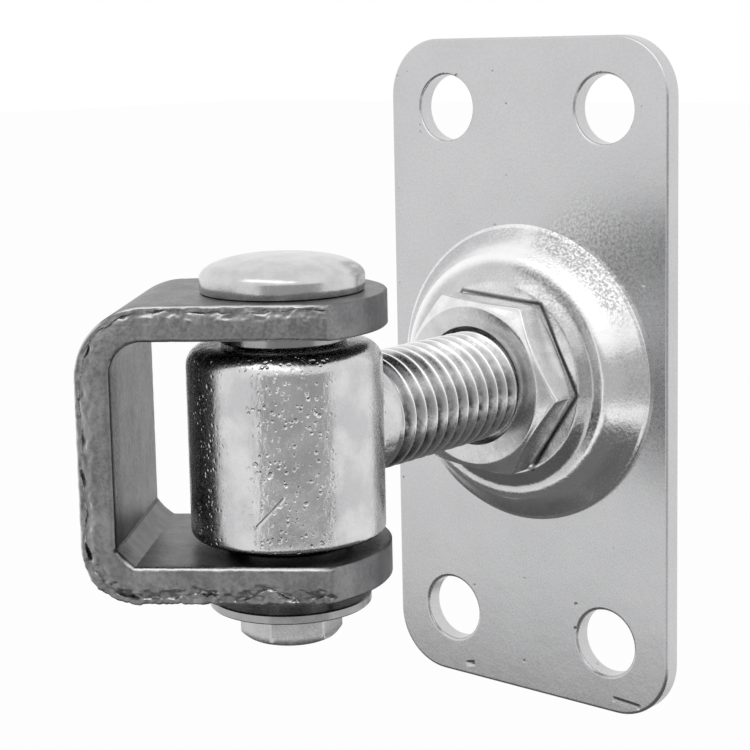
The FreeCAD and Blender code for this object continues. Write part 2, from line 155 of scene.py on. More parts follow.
def turned(name, profile, segments, centre):
    """A closed profile of (radius, z) turned about the upright axis through centre."""
    points = []
    for k in range(segments):
        angle = 2 * math.pi * k / segments
        for radius, z in profile:
            points.append((
                centre[0] + radius * math.cos(angle), centre[1] + radius * math.sin(angle), z))
    return mesh_object(name, points, faces_around(segments, len(profile)))


def round_corner(centre, radius, first, last, steps):
    """Points of an arc, angles in degrees."""
    angles = [math.radians(first + (last - first) * i / steps) for i in range(steps + 1)]
    return [(centre[0] + radius * math.cos(a), centre[1] + radius * math.sin(a)) for a in angles]


def ease(value):
    """0 to 1 with soft ends."""
    t = min(max(value, 0.0), 1.0)
    return t * t * (3 - 2 * t)


# Eye bolt: barrel, neck and rolled thread as one forging


def barrel_surface_y(x, z):
    """Where the barrel's outer face lies behind the pin, for a point of the rod."""
    radius = BARREL_R
    over = z - (BARREL_TOP - BARREL_ROUND)
    if over > 0:
        radius += math.sqrt(max(BARREL_ROUND ** 2 - over ** 2, 0.0)) - BARREL_ROUND
    return PIVOT_Y + math.sqrt(max(radius ** 2 - x ** 2, 0.0))


# Half a turn of the thread from its crest: share of the pitch, and depth below the crest
THREAD_HALF = [
    (0.0, 0.0), (0.045, 0.02), (0.085, 0.12), (0.20, 0.56), (0.34, 1.12), (0.41, 1.30), (0.5, 1.36)]


def rod_radius(y, angle, depth):
    """The rod's radius at y and angle, with the thread's depth at that point."""
    grown = ease((y - THREAD_START) / THREAD_FADE)
    radius = NECK_R + (ROD_R - depth - NECK_R) * grown
    radius = min(radius, ROD_R - ROD_CHAMFER + max(ROD_END - y, 0.0))
    along = y - barrel_surface_y(radius * math.sin(angle), radius * math.cos(angle))
    if along < NECK_ROUND:
        gap = NECK_ROUND - max(along, 0.0)
        radius += NECK_ROUND - math.sqrt(NECK_ROUND ** 2 - gap ** 2)
    return radius


def make_rod():
    """The threaded rod, its rows laid along the right-hand helix."""
    segments = 128
    half = THREAD_HALF
    profile = half + [(1.0 - share, depth) for share, depth in reversed(half[1:-1])]
    rows_per_turn = len(profile)
    first_turn = math.floor((ROD_INNER_END - CREST_Y) / PITCH) - 1
    last_turn = math.ceil((ROD_END - CREST_Y) / PITCH) + 1
    points, faces = [], []
    rows = 0
    for turn in range(first_turn, last_turn):
        for share, depth in profile:
            for k in range(segments):
                angle = 2 * math.pi * k / segments
                y = CREST_Y + (turn + share + k / segments) * PITCH
                radius = rod_radius(y, angle, depth)
                points.append((radius * math.sin(angle), y, radius * math.cos(angle)))
            rows += 1
    for j in range(rows - 1):
        for k in range(segments - 1):
            a = j * segments + k
            faces.append((a, a + 1, a + segments + 1, a + segments))
        joined = j + rows_per_turn
        if joined + 1 < rows:
            a = j * segments + segments - 1
            faces.append((a, joined * segments, (joined + 1) * segments, a + segments))
    rod = mesh_object("threaded_rod", points, faces)
    for place, outward in ((ROD_INNER_END, -1), (ROD_END, 1)):
        cut_flat(rod, Vector((0, place * MM, 0)), Vector((0, outward, 0)))
    clean(rod)
    return rod


def cut_flat(obj, place, outward):
    """Cuts away what lies beyond a plane and closes the hole."""
    bm = bmesh.new()
    bm.from_mesh(obj.data)
    everything = bm.verts[:] + bm.edges[:] + bm.faces[:]
    bmesh.ops.bisect_plane(
        bm, geom=everything, plane_co=place, plane_no=outward, clear_outer=True, dist=1e-7)
    rim = [
        e for e in bm.edges
        if e.is_boundary and all(abs((v.co - place).dot(outward)) < 1e-6 for v in e.verts)]
    bmesh.ops.edgeloop_fill(bm, edges=rim)
    bm.to_mesh(obj.data)
    bm.free()


def make_eye_bolt():
    top, foot = BARREL_TOP, BARREL_FOOT
    profile = [(BARREL_BORE, foot)]
    profile += round_corner(
        (BARREL_R - BARREL_FOOT_ROUND, foot + BARREL_FOOT_ROUND), BARREL_FOOT_ROUND, -90, 0, 6)
    steps = 30
    low, high = foot + BARREL_FOOT_ROUND, top - BARREL_ROUND
    profile += [(BARREL_R, low + (high - low) * i / steps) for i in range(1, steps)]
    profile += round_corner((BARREL_R - BARREL_ROUND, top - BARREL_ROUND), BARREL_ROUND, 0, 90, 10)
    profile += [(BARREL_BORE, top)]
    barrel = turned("eye_bolt_forging", profile, 192, (0, PIVOT_Y))
    combine(barrel, make_rod(), "UNION")
    return barrel


# Bracket: one length of flat bar bent twice, with sheared sides


# Steps of the bar's mesh along an arm, a bend and the strap, and across the bar
ARM_STEPS, BEND_STEPS, STRAP_STEPS, ACROSS_STEPS = 110, 44, 70, 26
# Rows of a sheared side, by their depth below the outer face: close together where it tears
SIDE_DEPTHS = [0.0, 0.05, 0.13, 0.22, 0.31]
SIDE_DEPTHS += [0.31 + 0.085 * i for i in range(1, 21)]
SIDE_DEPTHS += [2.2, 2.45, 2.75, 3.1, 3.45, 3.8, 4.05, 4.2, 4.35, 4.5, 4.63, 4.74, 4.83, BAR_THICK]
# Rounding of a sheared side towards the outer face, towards the inner face and at the arm ends
SIDE_EDGE = 0.42
INNER_EDGE = 0.75
END_EDGE = 0.2
# Depth of the torn crevice, on the lower arm and elsewhere
LOWER_CREVICE = 0.7
CREVICE = 0.3
BAR_SHARP_ANGLE = 50.0


def half_bar(outer_r, inner_r, sign, flatness):
    """The stations of one arm and its bend, from the tip to the strap.

    sign is 1 for the upper arm and -1 for the lower one. A flatness of 0 leaves the bend round
    inside, and 1 makes it flat between two creases.
    """
    before_tip = 0.994
    shares = [1.0, before_tip]
    shares += [before_tip * (1 - i / ARM_STEPS) for i in range(1, ARM_STEPS)]
    outer_x, outer_z = STRAP_X + outer_r, ARM_TOP - outer_r
    inner_x, inner_z = STRAP_X + BAR_THICK + inner_r, ARM_TOP - BAR_THICK - inner_r
    made = [
        (outer_x, sign * ARM_TOP, inner_x, sign * (ARM_TOP - BAR_THICK), share)
        for share in shares]
    for i in range(BEND_STEPS + 1):
        angle = math.radians(90 + 90 * i / BEND_STEPS)
        c, s = math.cos(angle), math.sin(angle)
        inside = inner_r * (1 - flatness + flatness / (s - c))
        made.append((
            outer_x + outer_r * c, sign * (outer_z + outer_r * s),
            inner_x + inside * c, sign * (inner_z + inside * s), None))
    return made


def bar_stations():
    """The bar's side view, from the upper arm's tip to the lower one's.

    Each station is (outer x, outer z, inner x, inner z, share of the way to the tip or None).
    """
    upper = half_bar(UPPER_BEND, UPPER_HOLLOW, 1, 0.0)
    lower = half_bar(LOWER_BEND, LOWER_FOLD, -1, LOWER_FLATNESS)
    lower.reverse()
    first, last = upper[-1], lower[0]
    middle = []
    for i in range(1, STRAP_STEPS):
        t = i / STRAP_STEPS
        middle.append((
            STRAP_X, first[1] + (last[1] - first[1]) * t,
            STRAP_X + BAR_THICK, first[3] + (last[3] - first[3]) * t, None))
    return upper + middle + lower


def wave(*place):
    """Smooth noise, about -1 to 1. An odd constant in a place only keeps two patterns apart."""
    return noise.noise(Vector(place))


def bell(x, centre, width, height):
    """A soft peak."""
    return height * math.exp(-(((x - centre) / width) ** 2))


def edge_round(radius, from_face):
    """How far a rounded edge stands back, at a distance from the face that it meets."""
    if from_face >= radius:
        return 0.0
    return radius - math.sqrt(max(radius ** 2 - (radius - from_face) ** 2, 0.0))


def tear_line(along, x, z, side):
    """Depth below the outer face at which the sheared side tears open."""
    line = 0.8 + 0.45 * wave(along / 5.0, 11.3 * side, 0.0)
    line += (
        0.3 * wave(along / 1.6, 11.3 * side, 4.0) + 0.12 * wave(along / 0.6, 3.1, 9.0 * side))
    if side < 0 and z < 0 and abs(x) < 8.0:
        # The two peaks of the tear below the pin
        line = 0.3 + 0.25 * line + (bell(x, -1.5, 1.9, 1.35) + bell(x, 6.0, 1.6, 0.45))
    return line


def side_inset(along, x, z, depth, side):
    """How far the sheared side stands back from the bar's full width."""
    rolled = INNER_EDGE * (1 + 0.25 * wave(along / 1.3, 2.0, side))
    back = edge_round(SIDE_EDGE, depth) + 0.85 * edge_round(rolled, BAR_THICK - depth)
    past = depth - tear_line(along, x, z, side)
    opened = ease(0.4 + 1.5 * wave(along / 2.6, 21.0 * side, 2.0))
    if past > 0:
        # Deepest at the tear, and back out from there
        crevice = LOWER_CREVICE if z < -12.0 else CREVICE
        back += crevice * math.exp(-past / 0.28) * opened + 0.22 * (1 - ease(past / 1.3))
    else:
        back += 0.2 * (1 - opened)
    # The half next to the inner face is smoother
    rough = 1.0 - 0.8 * ease((depth - 1.9) / 0.9)
    lumps = 0.2 * wave(along / 1.5, depth / 0.9, 15.0 * side)
    ripple = 0.12 * wave(along / 0.6, depth / 0.6, 5.0 * side)
    skin = 0.02 * wave(along / 0.7, depth / 3.0, 7.0)
    return max(0.0, back + 0.07 + (lumps + ripple) * rough + skin)


def burr(along, x, z, side):
    """How far the torn edge hangs out past the bar's outer face, below the lower arm."""
    if side > 0:
        return 0.0
    ragged = 0.7 + 0.5 * wave(along / 1.4, 31.0, 0.0) + 0.3 * wave(along / 0.5, 37.0, 0.0)
    lower = ease((-z - 14.0) / 4.0) * ease((8.0 - x) / 1.5)
    return max(0.0, 0.5 * ragged * lower)


def arm_reach(foot, w, share):
    """Along the arm, how far a point moves to follow the round arm end."""
    if share is None:
        return 0.0
    tip = ARM_TIP - ARM_SWEEP + math.sqrt(ARM_SWEEP ** 2 - w ** 2)
    return (tip - foot) * share


def bar_ring(station, place, along, pull):
    """The bar's cross section: the outer face, the far side, the inner face, the near side.

    pull draws all of its edges in by so much, to round the arm ends.
    """
    ox, oz, ix, iz, share = station
    outward = Vector((ox - ix, 0, oz - iz)).normalized()

    def section(w, depth):
        """A point across the bar by w and below the outer face."""
        t = min(max(depth, pull), BAR_THICK - pull) / BAR_THICK
        outer = Vector((ox + arm_reach(ox, w, share), w, oz))
        inner = Vector((ix + arm_reach(ix, w, share), w, iz))
        near_edge = ease((abs(w) - BAR_HALF + 1.8) / 1.6) * ease(1 - depth / 1.6)
        hang = burr(along, *place, -1 if w < 0 else 1)
        return outer.lerp(inner, t) + outward * hang * near_edge

    def edge(depth, side):
        """How far the bar reaches to one side."""
        return BAR_HALF - side_inset(along, *place, depth, side)

    near, far = edge(0.0, -1), edge(0.0, 1)
    ring = [section(-near + (near + far) * i / ACROSS_STEPS, 0.0) for i in range(1, ACROSS_STEPS)]
    ring += [section(edge(depth, 1) - pull, depth) for depth in SIDE_DEPTHS]
    near, far = edge(BAR_THICK, -1), edge(BAR_THICK, 1)
    ring += [
        section(far - (far + near) * i / ACROSS_STEPS, BAR_THICK) for i in range(1, ACROSS_STEPS)]
    ring += [section(pull - edge(depth, -1), depth) for depth in reversed(SIDE_DEPTHS)]
    return ring


def make_bracket():
    """The bar as rings from tip to tip, closed by the arm ends, with the pin's bore."""
    stations = bar_stations()
    points, faces = [], []
    along, last = 0.0, None
    for index, station in enumerate(stations):
        outer_x, outer_z, share = station[0], station[1], station[4]
        place = (outer_x + arm_reach(outer_x, BAR_HALF, share), outer_z)
        if last is not None:
            along += math.dist(place, last)
        last = place
        at_end = index in (0, len(stations) - 1)
        points += bar_ring(station, place, along, END_EDGE if at_end else 0.0)
    count = len(points) // len(stations)
    for k in range(len(stations) - 1):
        for i in range(count):
            a, b = k * count + i, k * count + (i + 1) % count
            faces.append((a, b, b + count, a + count))
    faces += end_faces(points, 0)
    faces += end_faces(points, (len(stations) - 1) * count)
    bracket = mesh_object("bent_bracket", points, faces, BAR_SHARP_ANGLE)
    beyond = 30.0
    outline = [(0.0, -beyond), (PIN_BORE, -beyond), (PIN_BORE, beyond), (0.0, beyond)]
    bore = turned("pin_bore", outline, 64, (0, 0))
    combine(bracket, bore, "DIFFERENCE", BAR_SHARP_ANGLE)
    pivot = Matrix.Translation(Vector((0, PIVOT_Y * MM, 0)))
    bracket.data.transform(pivot @ Matrix.Rotation(SWING, 4, "Z"))
    return bracket


def end_faces(points, start):
    """The round end of an arm, a grid between its outer and inner edge."""
    across = ACROSS_STEPS - 1
    depth_count = len(SIDE_DEPTHS)
    outer = [start + i for i in range(across)]
    right = [start + across + i for i in range(depth_count)]
    inner = [start + across + depth_count + i for i in range(across)]
    left = [start + 2 * across + depth_count + i for i in range(depth_count)]
    left.reverse()
    inner.reverse()
    grid = [left]
    for a, b in zip(outer, inner):
        column = [a]
        for depth in SIDE_DEPTHS[1:-1]:
            points.append(tuple(Vector(points[a]).lerp(Vector(points[b]), depth / BAR_THICK)))
            column.append(len(points) - 1)
        column.append(b)
        grid.append(column)
    grid.append(right)
    made = []
    for c in range(len(grid) - 1):
        for d in range(depth_count - 1):
            made.append((grid[c][d], grid[c + 1][d], grid[c + 1][d + 1], grid[c][d + 1]))
    return made


# Hexagon nuts, with chamfered faces and worn corners


def hex_radius(angle, across, flat_at, sharpness):
    """Radius of a hexagon with rounded corners, angles in radians, flat_at that of one flat."""
    from_flat = (angle - flat_at + math.pi / 6) % (math.pi / 3) - math.pi / 6
    total = 0.0
    for k in range(-1, 2):
        reach = math.cos(from_flat - k * math.pi / 3)
        total += max(reach, 0.0) ** sharpness
    return across / 2 / total ** (1 / sharpness)


def nut_column(rim, ring, height, bore, sink, worn):
    """One side of a nut as (radius, z), from the bore out, up the rim and back to the bore.

    The chamfer slopes from the ring's radius out to the rim, where its edge is worn round.
    """
    slope = math.tan(math.radians(30))
    fall = (rim - ring) * slope
    face, chamfer = ring - bore - sink, rim - worn - ring
    lower = [(bore, sink), (bore + sink, 0.0)]
    lower += [(bore + sink + face * t, 0.0) for t in (0.5, 0.94)]
    lower += [(ring + chamfer * t, chamfer * t * slope) for t in (0.06, 0.4, 0.8, 1.0)]
    for a in (0.5, 1.0, math.pi / 2):
        rise = worn * (0.35 + slope) * (1 - math.cos(a))
        lower.append((rim - worn * (1 - math.sin(a)), fall - worn * slope + rise))
    low = lower[-1][1]
    middle = [(rim, low + (height - 2 * low) * t) for t in (0.25, 0.5, 0.75)]
    upper = [(r, height - z) for r, z in reversed(lower)]
    return lower + middle + upper


def make_hex_nut(name, across, height, bore, inset, sink, corner_at, sharpness):
    """A nut standing on z = 0, with a corner at the angle corner_at, in degrees.

    inset is how far the flat ring of its faces lies inside the flats, sink the bore's chamfer.
    """
    flat_at = math.radians(corner_at) + math.pi / 6
    side_steps = 60
    angles = []
    for k in range(6):
        corner = math.radians(corner_at) + k * math.pi / 3
        for step in range(side_steps):
            t = step / side_steps
            # Closer together at the corners
            spread = t - 0.12 * math.sin(2 * math.pi * t)
            angles.append(corner + spread * math.pi / 3)
    ring = across / 2 - inset
    worn = 0.22 * across / 27
    points = []
    for angle in angles:
        rim = hex_radius(angle, across, flat_at, sharpness)
        column = nut_column(rim, ring, height, bore, sink, worn)
        points += [(r * math.cos(angle), r * math.sin(angle), z) for r, z in column]
    return mesh_object(name, points, faces_around(len(angles), len(column)), 40.0)


def make_lock_nut():
    nut = make_hex_nut(
        "lock_nut_worn", across=LOCK_NUT_ACROSS, height=7.0, bore=THREAD_BORE, inset=0.75,
        sink=0.75, corner_at=LOCK_NUT_CORNER, sharpness=90.0)
    place = Matrix.Translation(Vector((0, LOCK_NUT_BACK, 0)) * MM)
    nut.data.transform(place @ Matrix.Rotation(math.radians(90), 4, "X"))
    return nut


def make_pin_nut():
    nut = make_hex_nut(
        "pin_nut_plated", across=PIN_NUT_ACROSS, height=4.8, bore=4.05, inset=0.4, sink=0.4,
        corner_at=PIN_NUT_CORNER, sharpness=34.0)
    place = Matrix.Translation(Vector((0, PIVOT_Y, PIN_NUT_UNDER)) * MM)
    nut.data.transform(place @ Matrix.Rotation(SWING, 4, "Z"))
    return nut


# Hinge pin and threaded boss


def make_pin():
    """Hinge pin: a low dome on a straight rim, the shank and its thinner threaded end."""
    foot, shoulder, thin, chamfer, shank = -29.9, -23.1, 4.0, 0.4, 6.0
    base, rim, crown, radius, edge, under = ARM_TOP, 2.5, 2.8, 11.65, 0.95, 0.5
    profile = [(0.0, foot), (thin - chamfer, foot), (thin, foot + chamfer), (thin, shoulder)]
    profile += [(shank, shoulder), (shank, base)]
    profile += [
        (radius - under, base), (radius - 0.3 * under, base + 0.3 * under), (radius, base + under)]
    profile += [(radius, base + under + (rim - under - edge * 0.5) * t) for t in (0.5, 1.0)]
    top = base + rim + crown
    low = base + rim - edge * 0.5
    dome_steps = 40
    for i in range(1, dome_steps):
        a = i / dome_steps * math.pi / 2
        dome = (top - low) * math.sin(a) ** 0.96
        profile.append((radius * math.cos(a) ** 0.82, low + dome))
    profile.append((0.0, top))
    return turned("hinge_pin_plated", profile, 160, (0, PIVOT_Y))


def make_boss():
    """Threaded boss: a dished forging, its rings softly rounded and its skirt uneven."""
    # Radius, height above the plate's back, and rounding, from the rim to the bore
    corners = [
        (24.7, PLATE_THICK, 0.0), (24.7, 3.7, 0.25), (24.1, 4.0, 0.35), (19.8, 9.15, 3.4),
        (17.7, 9.25, 2.0), (15.8, 10.55, 0.9), (9.6, 10.6, 0.0), (THREAD_BORE, 9.85, 0.0)]
    profile = [(SPIGOT_R, 0.0), (SPIGOT_R, PLATE_THICK)]
    profile += rounded_line(corners) + [(THREAD_BORE, 0.0)]
    boss = turned("threaded_boss_forging", profile, 240, (0, 0))
    for vertex in boss.data.vertices:
        x, y, z = vertex.co / MM
        if z > PLATE_THICK + 0.2 and math.hypot(x, y) > SPIGOT_R + 0.3:
            swell = 0.05 * wave(x / 5, y / 5, z / 5) + 0.02 * wave(x / 1.2, y / 1.2, z / 1.2)
            vertex.co.z -= max(0.0, 0.05 + swell) * MM
    boss.data.transform(Matrix.Rotation(math.radians(90), 4, "X"))
    return boss


def rounded_line(corners):
    """Points along a line of (radius, height, rounding), each corner rounded."""
    made = [corners[0][:2]]
    for before, corner, after in zip(corners, corners[1:], corners[2:]):
        p = Vector(corner[:2])
        rounding = corner[2]
        to_before, to_after = Vector(before[:2]) - p, Vector(after[:2]) - p
        angle = to_before.angle(to_after)
        if rounding == 0:
            made.append(tuple(p))
            continue
        cut = min(rounding / math.tan(angle / 2), 0.48 * to_before.length, 0.48 * to_after.length)
        a, b = p + to_before.normalized() * cut, p + to_after.normalized() * cut
        for i in range(9):
            t = i / 8
            made.append(tuple(a.lerp(p, t).lerp(p.lerp(b, t), t)))
        if to_after.length > 2.5 * cut:
            end = Vector(after[:2])
            made += [tuple(b.lerp(end, t)) for t in (0.2, 0.4, 0.55)]
    made.append(corners[-1][:2])
    return made


# Materials


def mm(*values):
    """Millimetres as metres."""
    return [value * MM for value in values]


def grey(level):
    return (level, level, level)


class Nodes:
    """Short names for the nodes of one material."""

    def __init__(self, name, colour, metallic, roughness):
        self.material = bpy.data.materials.new(name)
        self.material.use_nodes = True
        self.tree = self.material.node_tree
        self.shader = self.tree.nodes["Principled BSDF"]
        self.set(Base_Color=(*colour, 1), Metallic=metallic, Roughness=roughness)
        coordinates = self.add("TexCoord")
        self.place, self.normal = coordinates.outputs["Object"], coordinates.outputs["Normal"]

    def add(self, kind, **inputs):
        """A node with its inputs, named with _ for a space."""
        node = self.tree.nodes.new("ShaderNode" + kind)
        for key, item in inputs.items():
            self.feed(node.inputs[key.replace("_", " ")], item)
        return node

    def set(self, **inputs):
        """Sets inputs of the material's shader."""
        for key, item in inputs.items():
            self.feed(self.shader.inputs[key.replace("_", " ")], item)

    def feed(self, socket, item):
        """Links another node's output to the socket, or sets a constant on it."""
        if isinstance(item, bpy.types.NodeSocket):
            self.tree.links.new(item, socket)
        else:
            socket.default_value = item

    def noise(self, size_mm, detail=4.0, rough=0.55, stretch=None):
        """Noise with features of about the given size, 0 to 1."""
        place = self.place
        if stretch is not None:
            place = self.add("Mapping", Vector=place, Scale=stretch).outputs["Vector"]
        node = self.add(
            "TexNoise", Vector=place, Scale=1.0 / (size_mm * MM), Detail=detail, Roughness=rough)
        return node.outputs["Fac"]

    def ramp(self, source, low, high, out_low=0.0, out_high=1.0):
        """Maps low..high of source to out_low..out_high with soft ends."""
        node = self.add(
            "MapRange", Value=source, From_Min=low, From_Max=high, To_Min=out_low,
            To_Max=out_high)
        node.interpolation_type = "SMOOTHSTEP"
        return node.outputs["Result"]

    def band(self, source, start, risen, falling, end, top=1.0):
        """0 up to start, top between risen and falling, and 0 again from end on."""
        rise, fall = self.ramp(source, start, risen), self.ramp(source, falling, end, top, 0.0)
        return self.times(rise, fall)

    def math(self, operation, *items):
        node = self.add("Math")
        node.operation = operation
        for socket, item in zip(node.inputs, items):
            self.feed(socket, item)
        return node.outputs["Value"]

    def times(self, a, b):
        return self.math("MULTIPLY", a, b)

    def plus(self, a, b):
        return self.math("ADD", a, b)

    def minus(self, a, b):
        return self.math("SUBTRACT", a, b)

    def larger(self, a, b):
        return self.math("MAXIMUM", a, b)

    def size(self, a):
        return self.math("ABSOLUTE", a)

    def distance(self, a, b):
        """The length of two coordinates at right angles."""
        return self.math("SQRT", self.plus(self.times(a, a), self.times(b, b)))

    def vector(self, operation, *items):
        """A vector, or a number where the operation gives one."""
        node = self.add("VectorMath")
        node.operation = operation
        for socket, item in zip(node.inputs, items):
            self.feed(socket, item)
        is_number = operation in ("DISTANCE", "DOT_PRODUCT", "LENGTH")
        return node.outputs["Value" if is_number else "Vector"]

    def blend(self, factor, first, second):
        """Mixes two colours by factor."""
        node = self.add("Mix")
        node.data_type = "RGBA"
        # Numbers of the sockets that a mix of colours uses
        for key, item in ((0, factor), (6, first), (7, second)):
            self.feed(node.inputs[key], (*item, 1) if isinstance(item, tuple) else item)
        return node.outputs[2]

    def bump(self, height, depth_mm, strength=1.0, below=None):
        """Relief on the shader's normal, on top of the relief below."""
        node = self.add("Bump", Height=height, Strength=strength, Distance=depth_mm * MM)
        if below is not None:
            self.feed(node.inputs["Normal"], below)
        self.set(Normal=node.outputs["Normal"])
        return node.outputs["Normal"]


def dents(n, size_mm, share, widest):
    """Scattered shallow dents of uneven size and outline, 0 to 1 deep."""
    warp = n.add("TexNoise", Vector=n.place, Scale=1.0 / (0.9 * MM), Detail=2.0)
    moved = n.vector("MULTIPLY_ADD", warp.outputs["Color"], mm(0.5, 0.5, 0.5), n.place)
    cell = n.add("TexVoronoi", Vector=moved, Scale=1.0 / (size_mm * MM))
    chance = n.add("SeparateColor", Color=cell.outputs["Color"]).outputs["Red"]
    reach = n.ramp(chance, 1.0 - share, 1.0, 0.0, widest)
    return n.ramp(n.minus(reach, cell.outputs["Distance"]), 0.0, 0.3)


def frosted(n):
    """1 in the coarse grained place at the upper right of the boss, fading out to 0."""
    away = n.vector("DISTANCE", n.place, mm(*FROST_PLACE))
    ragged = n.times(n.minus(n.noise(5.0, 4.0), 0.5), 12.0 * MM)
    return n.ramp(n.plus(away, ragged), *mm(6.0, 13.0), 1.0, 0.0)


def scratch(n, start, end, width):
    """1 along a straight scratch between two places in millimetres."""
    run = (Vector(end) - Vector(start)).normalized()
    from_start = n.vector("SUBTRACT", n.place, mm(*start))
    across = n.vector("LENGTH", n.vector("CROSS_PRODUCT", from_start, run))
    along = n.vector("DOT_PRODUCT", from_start, run)
    length = math.dist(start, end)
    groove = n.ramp(across, *mm(0.2 * width, width), 1.0, 0.0)
    groove = n.times(groove, n.ramp(along, *mm(-0.5, 0.5)))
    return n.times(groove, n.ramp(along, *mm(length - 0.8, length), 1.0, 0.0))


def zinc_plate():
    """Zinc plated sheet: fine mottled satin with faint larger clouds, specks and two knocks."""
    n = Nodes("zinc_plate_sheet", (0.6, 0.6, 0.61), 1.0, 0.36)
    clouds, grain = n.noise(11.0, 5.0), n.noise(0.6, 4.0, 0.65)
    tone = n.plus(n.times(clouds, 0.35), n.times(grain, 0.65))
    colour = n.blend(n.ramp(tone, 0.38, 0.62), (0.57, 0.57, 0.58), (0.62, 0.62, 0.63))
    coarse = n.ramp(n.noise(0.5, 4.0, 0.65), 0.4, 0.6)
    grainy = n.blend(coarse, grey(0.35), grey(0.85))
    colour = n.blend(n.times(frosted(n), 0.45), colour, grainy)
    specks = dents(n, 2.6, 0.35, 0.2)
    n.set(Base_Color=n.blend(n.times(specks, 0.5), colour, grey(0.3)))
    n.set(Roughness=n.ramp(grain, 0.3, 0.7, 0.24, 0.31))
    marks = specks
    for (x0, z0), (x1, z1) in PLATE_KNOCKS:
        marks = n.larger(scratch(n, (x0, -PLATE_THICK, z0), (x1, -PLATE_THICK, z1), 0.6), marks)
    below = n.bump(n.noise(2.2, 3.0, 0.5), 0.04, 0.5)
    below = n.bump(marks, -0.3, 1.0, below)
    n.bump(n.noise(0.4, 5.0, 0.65), 0.03, 0.4, below)
    return n.material


def boss_masks(n):
    """Painted shade in the outer groove, shadow along the lock nut, highlight on the shoulder."""
    split = n.add("SeparateXYZ", Vector=n.place)
    x, z = split.outputs["X"], split.outputs["Z"]
    radius = n.distance(x, z)
    # Painted shade in the boss's outer groove
    groove = n.band(radius, *mm(15.2, 16.2, 17.8, 20.0))
    # How far out a point lies on the nut's hexagon, by its three pairs of flats
    outline = 0.0
    for k in range(3):
        flat = math.radians(LOCK_NUT_CORNER - 30 + 60 * k)
        reach = n.plus(n.times(x, math.cos(flat)), n.times(z, math.sin(flat)))
        outline = n.larger(n.size(reach), outline)
    # A painted shadow along the lock nut's outline, where it sits on the boss
    edge = LOCK_NUT_ACROSS / 2
    nut_contact_shadow = n.band(outline, *mm(edge - 0.3, edge - 0.1, edge + 0.15, edge + 0.6), 0.8)
    # A painted highlight along the shoulder
    shoulder = n.band(radius, *mm(18.6, 19.8, 21.0, 22.5))
    return groove, nut_contact_shadow, shoulder


def zinc_boss():
    """Zinc plated forging: bright, with soft lumps, a frosty place and a painted shadow by the nut.
    """
    n = Nodes("zinc_forging_boss", (0.66, 0.66, 0.67), 1.0, 0.2)
    clouds, grain = n.noise(5.0, 5.0), n.noise(0.42, 4.0, 0.6)
    frost = frosted(n)
    coarse = n.ramp(n.noise(0.45, 4.0, 0.65), 0.4, 0.6)
    tone = n.plus(n.times(clouds, 0.5), n.times(grain, 0.5))
    colour = n.blend(n.ramp(tone, 0.36, 0.64), (0.72, 0.72, 0.73), (0.92, 0.92, 0.925))
    grainy = n.blend(coarse, grey(0.15), grey(0.85))
    colour = n.blend(n.times(frost, 0.6), colour, grainy)
    groove, nut_contact_shadow, shoulder = boss_masks(n)
    # Painted shade in the groove, a painted shadow by the nut and a painted highlight on the
    # shoulder
    colour = n.blend(n.times(groove, 0.5), colour, grey(0.35))
    colour = n.blend(nut_contact_shadow, colour, grey(0.05))
    n.set(Base_Color=n.blend(n.times(shoulder, 0.8), colour, grey(0.97)))
    n.set(Roughness=n.ramp(grain, 0.3, 0.7, 0.14, 0.28))
    below = n.bump(n.noise(3.5, 2.0, 0.4), 0.12, 0.5)
    fine = n.times(n.noise(0.5, 5.0, 0.6), n.plus(n.times(frost, 1.2), 0.25))
    n.bump(fine, 0.11, 0.8, below)
    return n.material


def bolt_masks(n):
    """The thread, its grooves and crests, its upper side with less painted shade, and the dented
    barrel.
    """
    split = n.add("SeparateXYZ", Vector=n.place)
    x, y, z = (split.outputs[axis] for axis in "XYZ")
    radius = n.distance(x, z)
    thread = n.band(y, *mm(THREAD_START - 0.5, THREAD_START + 1.0, -4.0, -2.5))
    groove = n.ramp(radius, *mm(7.8, 8.65), 1.0, 0.0)
    crest_highlight = n.ramp(radius, *mm(8.55, 8.75))
    # Less painted shade on the upper side of the rod
    upper = n.ramp(z, *mm(-2.0, 6.0), 1.0, 0.4)
    right_x, right_y = BARREL_ACROSS
    side = n.plus(n.times(x, right_x), n.times(y, right_y))
    side = n.minus(side, right_y * PIVOT_Y * MM)
    middle = n.band(side, *mm(-6.5, -2.5, 5.0, 8.0))
    left = n.ramp(side, *mm(-10.5, -8.5), 1.0, 0.0)
    dented = n.plus(n.larger(middle, left), 0.12)
    return thread, groove, crest_highlight, upper, dented


